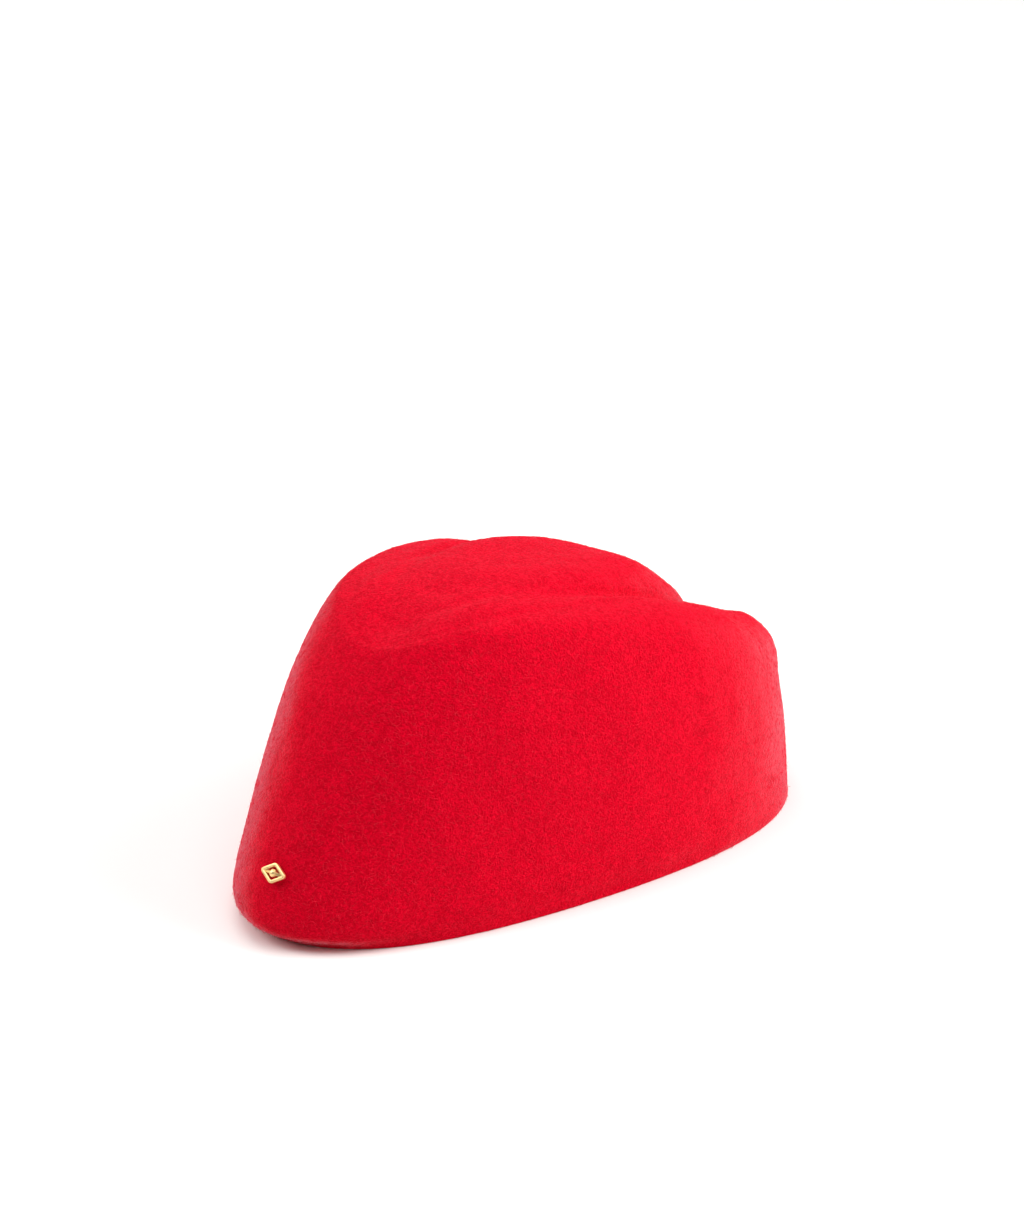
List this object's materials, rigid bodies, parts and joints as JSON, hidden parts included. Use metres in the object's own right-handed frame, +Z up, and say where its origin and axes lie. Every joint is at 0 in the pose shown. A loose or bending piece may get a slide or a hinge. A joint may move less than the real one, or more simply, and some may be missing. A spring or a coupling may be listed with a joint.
{
  "type": "brimless felt hat",
  "caption": "Brimless moulded wool felt hat with a tall front, a low back and a ring-dented crown round a long dome, with a small pierced badge on the front.",
  "frame": {"origin": "under the middle of the hat, on the plane that the rim rests on", "axes": "+Z up from the rim to the crown, +Y from the front of the hat to its back, +X towards the wearer's left"},
  "size_m": [0.1494, 0.234, 0.0993],
  "materials": {
    "red_wool_felt": "pressed wool felt with a short soft nap",
    "polished_brass": "polished",
    "plain_brass": "plain sheet"
  },
  "bodies": {
    "root": {"felt_crown": "red_wool_felt", "badge": "polished_brass", "badge_keeper_plate": "plain_brass"}
  },
  "joints": []
}
